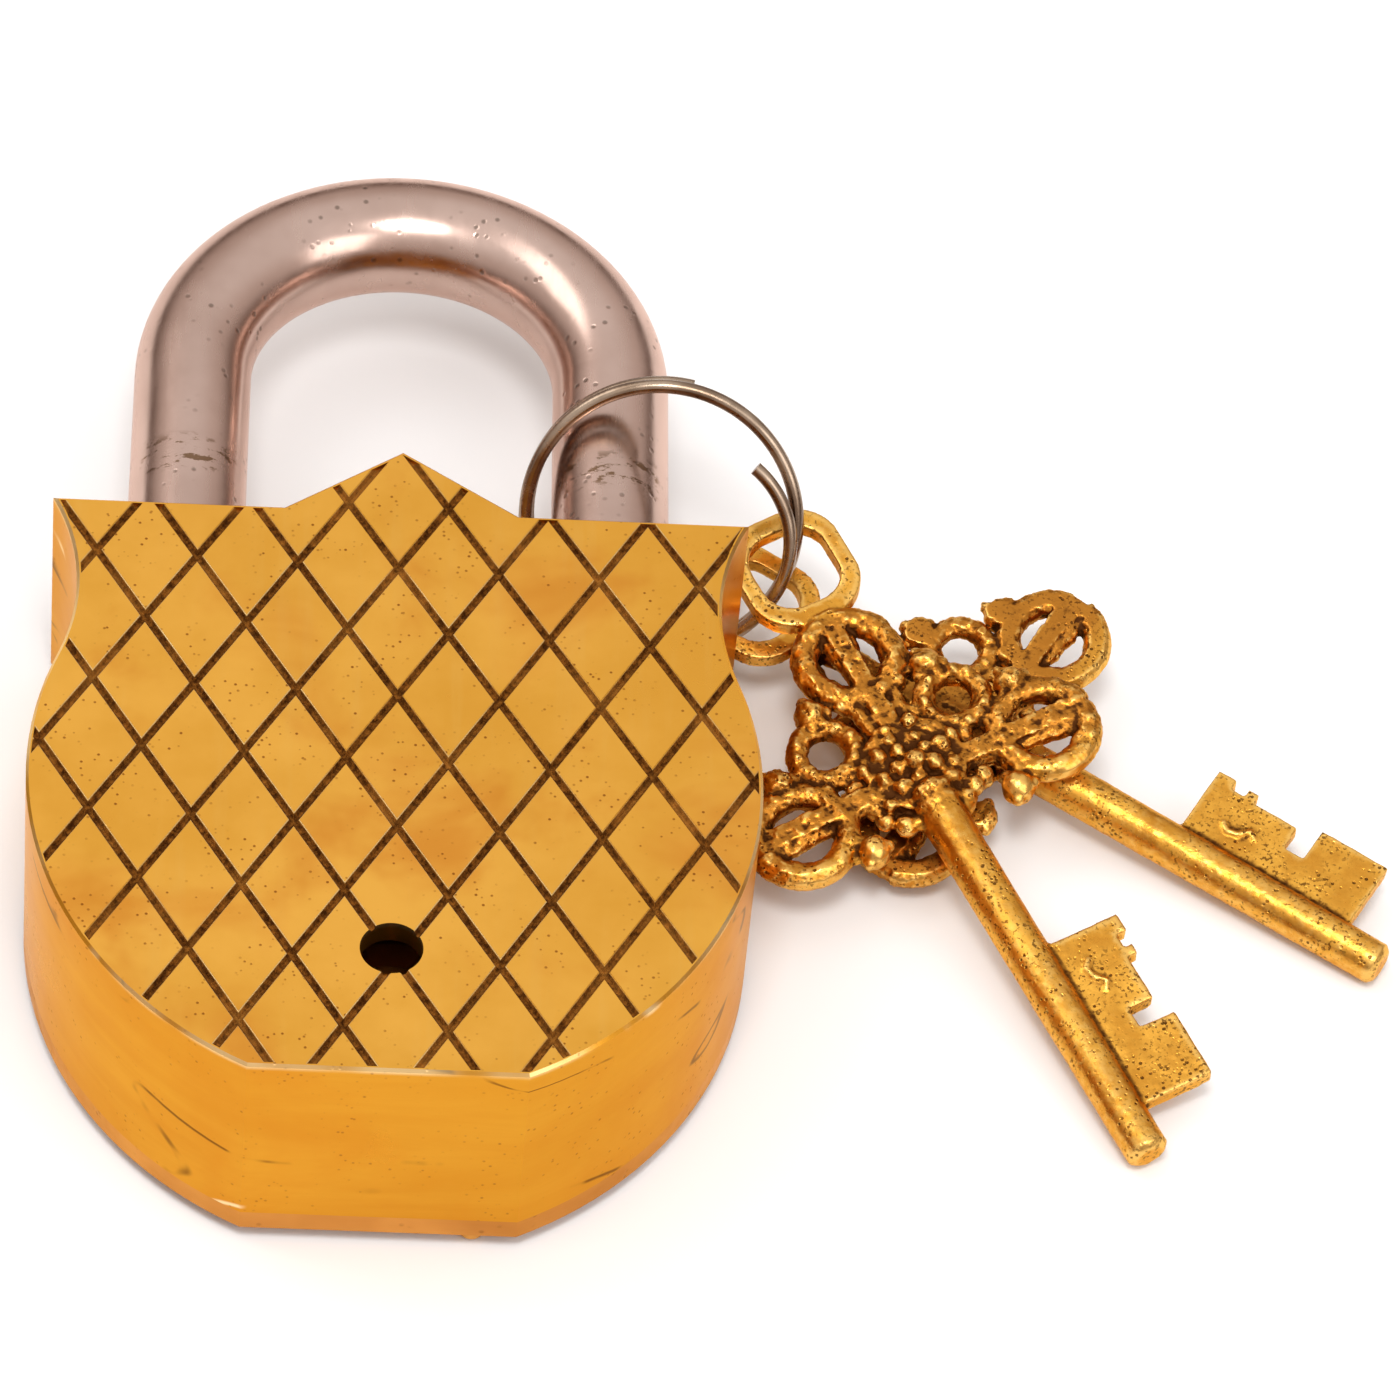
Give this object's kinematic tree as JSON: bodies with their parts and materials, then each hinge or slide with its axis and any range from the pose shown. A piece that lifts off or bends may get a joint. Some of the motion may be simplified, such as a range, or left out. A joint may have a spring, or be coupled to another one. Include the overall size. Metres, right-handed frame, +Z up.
{
  "type": "padlock",
  "caption": "Brass shield-shaped padlock with a crosshatched face, a steel shackle, a lever mechanism, and a split ring that holds ornate bit keys.",
  "frame": {"origin": "middle of the footprint of the whole layout (lock, ring and keys) on the surface that the lock lies on", "axes": "+Z up, out of the crosshatched face; +Y from the foot of the lock towards the shackle; +X across the lock towards the keys"},
  "size_m": [0.1428, 0.1316, 0.0288],
  "materials": {
    "brass_case": "polished cast brass, slightly pitted, with dark hand-cut crosshatch",
    "brass_plate": "filed brass",
    "brass_cover": "polished brass",
    "rivet_steel": "hammered rivet heads",
    "shackle_steel": "polished steel with light wear",
    "mechanism_steel": "turned steel",
    "spring_steel": "blued spring steel",
    "brass_mechanism": "stamped brass",
    "ring_wire": "dull plated wire",
    "key_brass": "cast brass with dark patina in the recesses"
  },
  "bodies": {
    "case": {"lock_case": "brass_case", "face_plate": "brass_plate", "plate_rivets": "rivet_steel", "cover_rivet": "rivet_steel", "cover_washer": "rivet_steel", "heel_retaining_pin": "mechanism_steel", "bolt_guides": "mechanism_steel", "lever_pivot": "mechanism_steel", "lever_washers": "mechanism_steel", "spring_post": "mechanism_steel", "lever_spring_1": "spring_steel", "lever_spring_2": "spring_steel", "lever_spring_3": "spring_steel", "ward_plate": "brass_mechanism"},
    "shackle": {"shackle": "shackle_steel"},
    "bolt": {"bolt": "brass_mechanism"},
    "lever_1": {"lever_1": "brass_mechanism"},
    "lever_2": {"lever_2": "brass_mechanism"},
    "lever_3": {"lever_3": "brass_mechanism"},
    "keyhole_cover": {"keyhole_cover": "brass_cover"},
    "key_ring": {"key_ring": "ring_wire"},
    "key_1": {"key_1": "key_brass"},
    "key_2": {"key_2": "key_brass"}
  },
  "joints": [
    {"name": "shackle_lift", "type": "slide", "parent": "case", "child": "shackle", "axis": [0, 1, 0], "range_m": [0, 0.0285]},
    {"name": "bolt_throw", "type": "slide", "parent": "case", "child": "bolt", "axis": [1, 0, 0], "range_m": [0, 0.0036]},
    {"name": "lever_1_lift", "type": "hinge", "parent": "case", "child": "lever_1", "pos_m": [-0.01093, -0.02983, 0.0063], "axis": [0, 0, 1], "range_deg": [-2.2, 0], "deforming": ["lever_spring_1"]},
    {"name": "lever_2_lift", "type": "hinge", "parent": "case", "child": "lever_2", "pos_m": [-0.01093, -0.02983, 0.0091], "axis": [0, 0, 1], "range_deg": [-1.9, 0], "deforming": ["lever_spring_2"]},
    {"name": "lever_3_lift", "type": "hinge", "parent": "case", "child": "lever_3", "pos_m": [-0.01093, -0.02983, 0.0119], "axis": [0, 0, 1], "range_deg": [-2.4, 0], "deforming": ["lever_spring_3"]},
    {"name": "cover_swing", "type": "hinge", "parent": "case", "child": "keyhole_cover", "pos_m": [-0.03393, -0.04063, 0.0008], "axis": [0, 0, 1], "range_deg": [-22, 31]},
    {"name": "ring_swing", "type": "hinge", "parent": "shackle", "child": "key_ring", "pos_m": [-0.01143, 0.02073, 0.0152], "axis": [0, 1, 0], "range_deg": [-30, 0]},
    {"name": "key_1_swing", "type": "hinge", "parent": "key_ring", "child": "key_1", "pos_m": [0.0083, 0.01793, 0.0133], "axis": [0, 0, 1], "range_deg": [0, 5]},
    {"name": "key_2_swing", "type": "hinge", "parent": "key_ring", "child": "key_2", "pos_m": [0.00495, 0.01366, 0.00788], "axis": [0, 0, 1], "range_deg": [0, 6]}
  ],
  "couplings": [
    {"joint": "lever_1_lift", "follows": "bolt_throw", "rad_per_m": -10.101},
    {"joint": "lever_2_lift", "follows": "bolt_throw", "rad_per_m": -8.5859},
    {"joint": "lever_3_lift", "follows": "bolt_throw", "rad_per_m": -11.111}
  ]
}
